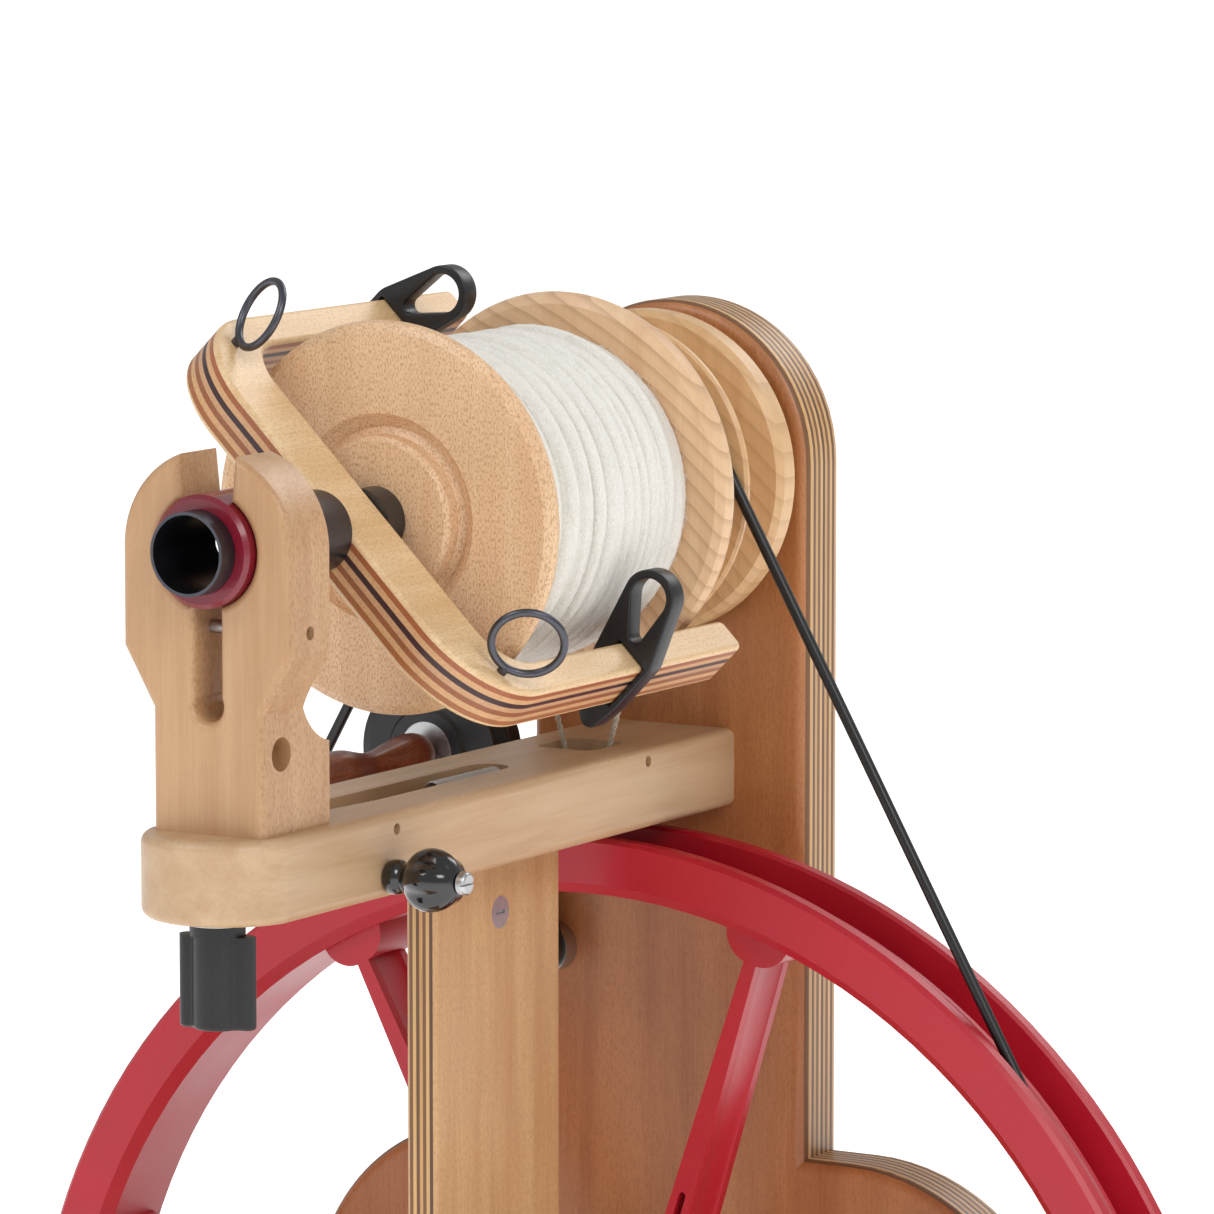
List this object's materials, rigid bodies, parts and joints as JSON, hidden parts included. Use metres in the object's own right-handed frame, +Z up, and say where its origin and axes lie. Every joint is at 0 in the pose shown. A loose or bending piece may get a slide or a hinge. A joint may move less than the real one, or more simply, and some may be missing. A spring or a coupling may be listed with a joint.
{
  "type": "spinning wheel",
  "caption": "Upright spinning wheel: a moulded wheel between a post and a back panel drives a bulky flyer with a bobbin, cord brake and band idler, worked by treadles.",
  "frame": {"origin": "on the floor, under the middle of the object's bounding box (the drive wheel's axle is straight above it across the width)", "axes": "+Z up, the spinner sits on the -Y side facing +Y, +X to the spinner's right, axles along Y"},
  "size_m": [0.42, 0.398, 0.6799],
  "materials": {
    "maple": "oiled hard maple, satin",
    "beech": "oiled turned beech, satin",
    "panel_ply": "stained birch plywood, satin lacquer, banded edges",
    "base_wood": "oiled maple, satin",
    "flyer_ply": "laminated maple with one dark ply, satin lacquer",
    "red_polymer": "moulded, fine speckle",
    "crimson_polymer": "turned acetal",
    "black_polymer": "moulded nylon",
    "gloss_black": "moulded phenolic, glossy",
    "black_steel": "blackened steel",
    "steel": "bright zinc plated",
    "nylon": "turned nylon",
    "stained_wood": "turned hardwood, red-brown stain, satin lacquer",
    "yarn": "thick undyed wool",
    "band": "round polyurethane cord",
    "cotton": "twisted cotton cord",
    "rubber": "moulded rubber"
  },
  "bodies": {
    "frame": {"axle_bolt": "steel", "axle_nut": "steel", "axle_spacer": "steel", "back_panel": "panel_ply", "barrel_nut": "steel", "base_rail": "base_wood", "brake_cord": "cotton", "brake_pin": "steel", "brake_spring": "steel", "drive_band": "band", "front_beam": "base_wood", "front_maiden": "maple", "front_post": "maple", "hinge_brackets": "steel", "hinge_pins": "steel", "idler_pivot_bolt": "steel", "idler_pivot_spacer": "steel", "maiden_clamp_screw": "steel", "mother_of_all": "maple", "orifice_bearing": "crimson_polymer", "post_bolt": "steel", "rear_beam": "base_wood", "rear_bolts": "steel", "rubber_feet": "rubber", "shaft_bearing": "steel", "spring_anchor": "steel", "wing_washer": "nylon"},
    "drive_wheel": {"drive_wheel": "red_polymer", "wheel_bearings": "steel", "crank_pins": "steel"},
    "flyer": {"flyer_fork": "flyer_ply", "orifice_tube": "black_steel", "flyer_collar": "black_steel", "flyer_shaft": "steel", "flyer_whorl": "beech", "wire_loops": "black_steel"},
    "bobbin": {"bobbin": "beech", "bobbin_bushes": "nylon", "yarn": "yarn"},
    "upper_hook": {"upper_hook": "black_polymer"},
    "lower_hook": {"lower_hook": "black_polymer"},
    "tension_knob": {"tension_knob": "gloss_black", "tension_screw": "steel"},
    "wing_knob": {"wing_knob": "black_polymer", "wing_stud": "steel"},
    "idler": {"idler_arm": "black_polymer", "idler_axle": "steel", "idler_handle": "stained_wood"},
    "idler_pulley": {"idler_pulley": "black_polymer", "idler_bearing": "steel"},
    "left_treadle": {"left_treadle": "base_wood", "left_footman_pin": "steel"},
    "right_treadle": {"right_treadle": "base_wood", "right_footman_pin": "steel"},
    "left_footman": {"left_footman": "black_polymer"},
    "right_footman": {"right_footman": "black_polymer"}
  },
  "joints": [
    {"name": "wheel_spin", "type": "hinge", "parent": "frame", "child": "drive_wheel", "pos_m": [0, 0.105, 0.29], "axis": [0, 1, 0], "continuous": true},
    {"name": "flyer_spin", "type": "hinge", "parent": "frame", "child": "flyer", "pos_m": [0, 0.087, 0.6095], "axis": [0, 1, 0], "continuous": true},
    {"name": "bobbin_spin", "type": "hinge", "parent": "flyer", "child": "bobbin", "pos_m": [0, 0.027, 0.6095], "axis": [0, 1, 0], "continuous": true},
    {"name": "upper_hook_slide", "type": "slide", "parent": "flyer", "child": "upper_hook", "axis": [0, 1, 0], "range_m": [-0.066, 0.017]},
    {"name": "lower_hook_slide", "type": "slide", "parent": "flyer", "child": "lower_hook", "axis": [0, 1, 0], "range_m": [-0.044, 0.039]},
    {"name": "tension_turn", "type": "hinge", "parent": "frame", "child": "tension_knob", "pos_m": [0.024, -0.063, 0.511], "axis": [1, 0, 0], "range_deg": [-360, 360]},
    {"name": "wing_turn", "type": "hinge", "parent": "frame", "child": "wing_knob", "pos_m": [0, -0.116, 0.49], "axis": [0, 0, 1], "range_deg": [-360, 0]},
    {"name": "idler_swing", "type": "hinge", "parent": "frame", "child": "idler", "pos_m": [-0.041, 0.1287, 0.455], "axis": [0, -1, 0], "range_deg": [-8, 9]},
    {"name": "idler_spin", "type": "hinge", "parent": "idler", "child": "idler_pulley", "pos_m": [-0.059, 0.0966, 0.5216], "axis": [0, 1, 0], "continuous": true},
    {"name": "treadle_left_tilt", "type": "hinge", "parent": "frame", "child": "left_treadle", "pos_m": [-0.06, -0.168, 0.045], "axis": [1, 0, 0], "range_deg": [-4.61, 4.61]},
    {"name": "treadle_right_tilt", "type": "hinge", "parent": "frame", "child": "right_treadle", "pos_m": [0.06, -0.168, 0.045], "axis": [1, 0, 0], "range_deg": [-5.67, 5.67]},
    {"name": "footman_left_swing", "type": "hinge", "parent": "left_treadle", "child": "left_footman", "pos_m": [-0.024, 0.1305, 0.045], "axis": [1, 0, 0], "range_deg": [-4.71, 4.71]},
    {"name": "footman_right_swing", "type": "hinge", "parent": "right_treadle", "child": "right_footman", "pos_m": [0.024, 0.0752, 0.045], "axis": [1, 0, 0], "range_deg": [-5.77, 5.77]}
  ],
  "couplings": [
    {"joint": "flyer_spin", "follows": "wheel_spin", "ratio": 4.7156},
    {"joint": "treadle_right_tilt", "follows": "treadle_left_tilt", "ratio": -1.2274},
    {"joint": "footman_left_swing", "follows": "treadle_left_tilt", "ratio": -1},
    {"joint": "footman_right_swing", "follows": "treadle_left_tilt", "ratio": 1.2274}
  ]
}
